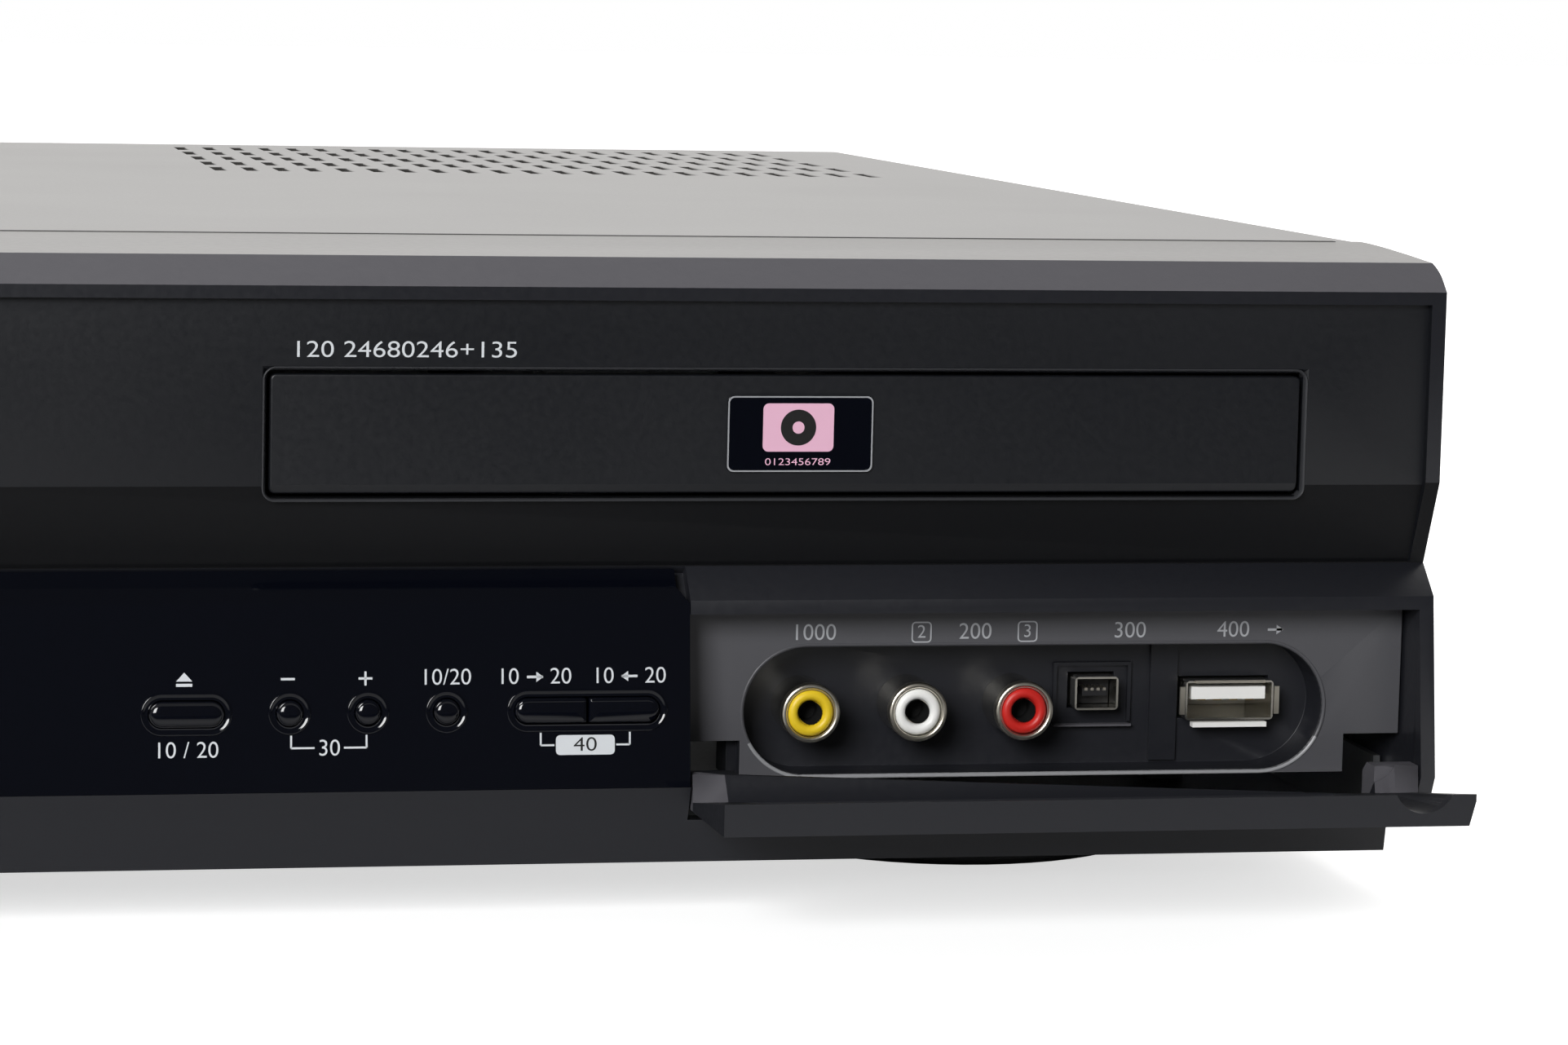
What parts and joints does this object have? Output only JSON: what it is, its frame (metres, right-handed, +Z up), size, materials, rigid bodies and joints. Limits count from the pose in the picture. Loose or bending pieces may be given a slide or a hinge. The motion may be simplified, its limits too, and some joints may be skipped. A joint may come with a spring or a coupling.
{
  "type": "disc and tape recorder",
  "caption": "Low, wide home recorder with a front-loading disc tray, a cassette flap, a glossy key strip and a fold-down door over front sockets.",
  "frame": {"origin": "on the floor, below the middle of the whole box, with the open socket door counted in", "axes": "+X along the front to the viewer's right, +Y from the front to the rear, +Z up"},
  "size_m": [0.43, 0.3802, 0.094],
  "materials": {
    "black_satin_plastic": "satin black ABS",
    "black_gloss": "smoked glossy acrylic, blue-black",
    "black_paint": "satin black coated steel",
    "zinc_steel": "bare zinc-plated steel",
    "dark_plastic": "matt black plastic",
    "grey_plastic": "grey moulded plastic",
    "white_plastic": "white moulded plastic",
    "yellow_plastic": "yellow moulded ring",
    "ivory_plastic": "white moulded ring",
    "red_plastic": "red moulded ring",
    "nickel": "nickel-plated",
    "rubber": "black rubber",
    "board_green": "circuit board",
    "display_glass": "dark display glass",
    "brass": "brass",
    "drum_metal": "turned aluminium",
    "coil_tape": "wound coil under tape"
  },
  "bodies": {
    "case": {"top_cover": "black_paint", "base_chassis": "zinc_steel", "rear_panel": "zinc_steel", "front_panel": "black_satin_plastic", "front_window": "black_gloss", "feet": "dark_plastic", "foot_pads": "rubber", "case_screws": "nickel", "front_board": "board_green", "display_module": "display_glass", "jack_plate": "black_satin_plastic", "jack_shells": "nickel", "video_insert": "yellow_plastic", "audio_left_insert": "ivory_plastic", "audio_right_insert": "red_plastic", "dv_shell": "nickel", "dv_insert": "dark_plastic", "usb_shell": "nickel", "usb_tongue": "white_plastic", "jack_board": "board_green", "drive_chassis": "grey_plastic", "guide_rods": "zinc_steel", "clamp_bridge": "zinc_steel", "deck_chassis": "zinc_steel", "drum_base": "drum_metal", "scart_sockets": "dark_plastic", "rear_jack_block": "dark_plastic", "rear_jack_shells": "nickel", "tuner_module": "zinc_steel", "power_inlet": "dark_plastic", "main_board": "board_green", "power_board": "board_green", "transformer": "coil_tape"},
    "tray": {"disc_tray": "dark_plastic", "tray_door": "black_satin_plastic", "badge_plate": "black_gloss"},
    "tray_drive": {"tray_gear": "white_plastic"},
    "jack_door": {"jack_door": "black_satin_plastic"},
    "flap": {"cassette_flap": "black_satin_plastic"},
    "carrier": {"holder_carrier": "zinc_steel"},
    "holder": {"cassette_holder": "zinc_steel"},
    "pickup": {"pickup_sled": "dark_plastic"},
    "spindle": {"turntable": "grey_plastic"},
    "clamp": {"clamp_disc": "white_plastic"},
    "drum": {"head_drum": "drum_metal"},
    "supply": {"supply_reel": "grey_plastic"},
    "takeup": {"takeup_reel": "grey_plastic"},
    "capstan": {"capstan": "brass"},
    "pinch": {"pinch_arm": "zinc_steel"},
    "power_key": {"power_button": "black_gloss"},
    "tape_eject_key": {"tape_eject_button": "black_gloss"},
    "disc_eject_key": {"disc_eject_button": "black_gloss"},
    "channel_down_key": {"channel_down_button": "black_gloss"},
    "channel_up_key": {"channel_up_button": "black_gloss"},
    "source_key": {"source_button": "black_gloss"},
    "copy_to_disc_key": {"copy_to_disc_button": "black_gloss"},
    "copy_to_tape_key": {"copy_to_tape_button": "black_gloss"}
  },
  "joints": [
    {"name": "tray_slide", "type": "slide", "parent": "case", "child": "tray", "axis": [0, -1, 0], "range_m": [0, 0.138]},
    {"name": "tray_drive_turn", "type": "hinge", "parent": "case", "child": "tray_drive", "pos_m": [0.0787, -0.14285, 0.062], "axis": [0, 0, 1], "range_deg": [0, 880]},
    {"name": "jack_door_hinge", "type": "hinge", "parent": "case", "child": "jack_door", "pos_m": [0.16, -0.16565, 0.0182], "axis": [-1, 0, 0], "range_deg": [0, 90]},
    {"name": "cassette_flap_hinge", "type": "hinge", "parent": "case", "child": "flap", "pos_m": [-0.1, -0.16125, 0.0826], "axis": [1, 0, 0], "range_deg": [0, 80], "stiffness_Nm_per_rad": 0.01, "springref_deg": -34.38},
    {"name": "holder_slide", "type": "slide", "parent": "case", "child": "carrier", "axis": [0, 1, 0], "range_m": [0, 0.045]},
    {"name": "holder_drop", "type": "slide", "parent": "carrier", "child": "holder", "axis": [0, 0, -1], "range_m": [0, 0.02]},
    {"name": "pickup_slide", "type": "slide", "parent": "case", "child": "pickup", "axis": [0, 1, 0], "range_m": [0, 0.032]},
    {"name": "spindle_spin", "type": "hinge", "parent": "case", "child": "spindle", "pos_m": [0.1217, -0.08885, 0.058], "axis": [0, 0, 1], "continuous": true},
    {"name": "clamp_spin", "type": "hinge", "parent": "case", "child": "clamp", "pos_m": [0.1217, -0.08885, 0.078], "axis": [0, 0, 1], "continuous": true},
    {"name": "drum_spin", "type": "hinge", "parent": "case", "child": "drum", "pos_m": [-0.1, 0.06115, 0.048], "axis": [0, 0, 1], "continuous": true},
    {"name": "supply_spin", "type": "hinge", "parent": "case", "child": "supply", "pos_m": [-0.146, -0.03685, 0.032], "axis": [0, 0, 1], "continuous": true},
    {"name": "takeup_spin", "type": "hinge", "parent": "case", "child": "takeup", "pos_m": [-0.054, -0.03685, 0.032], "axis": [0, 0, 1], "continuous": true},
    {"name": "capstan_spin", "type": "hinge", "parent": "case", "child": "capstan", "pos_m": [-0.052, 0.03715, 0.032], "axis": [0, 0, 1], "continuous": true},
    {"name": "pinch_swing", "type": "hinge", "parent": "case", "child": "pinch", "pos_m": [-0.028, 0.04715, 0.034], "axis": [0, 0, 1], "range_deg": [-7, 0]},
    {"name": "power_press", "type": "slide", "parent": "case", "child": "power_key", "axis": [0, 1, 0], "range_m": [0, 0.0008], "stiffness_N_per_m": 250, "springref_m": -0.002},
    {"name": "tape_eject_press", "type": "slide", "parent": "case", "child": "tape_eject_key", "axis": [0, 1, 0], "range_m": [0, 0.0008], "stiffness_N_per_m": 250, "springref_m": -0.002},
    {"name": "disc_eject_press", "type": "slide", "parent": "case", "child": "disc_eject_key", "axis": [0, 1, 0], "range_m": [0, 0.0008], "stiffness_N_per_m": 250, "springref_m": -0.002},
    {"name": "channel_down_press", "type": "slide", "parent": "case", "child": "channel_down_key", "axis": [0, 1, 0], "range_m": [0, 0.0008], "stiffness_N_per_m": 250, "springref_m": -0.002},
    {"name": "channel_up_press", "type": "slide", "parent": "case", "child": "channel_up_key", "axis": [0, 1, 0], "range_m": [0, 0.0008], "stiffness_N_per_m": 250, "springref_m": -0.002},
    {"name": "source_press", "type": "slide", "parent": "case", "child": "source_key", "axis": [0, 1, 0], "range_m": [0, 0.0008], "stiffness_N_per_m": 250, "springref_m": -0.002},
    {"name": "copy_to_disc_press", "type": "slide", "parent": "case", "child": "copy_to_disc_key", "axis": [0, 1, 0], "range_m": [0, 0.0008], "stiffness_N_per_m": 250, "springref_m": -0.002},
    {"name": "copy_to_tape_press", "type": "slide", "parent": "case", "child": "copy_to_tape_key", "axis": [0, 1, 0], "range_m": [0, 0.0008], "stiffness_N_per_m": 250, "springref_m": -0.002}
  ],
  "couplings": [
    {"joint": "tray_drive_turn", "follows": "tray_slide", "rad_per_m": 111.11}
  ]
}
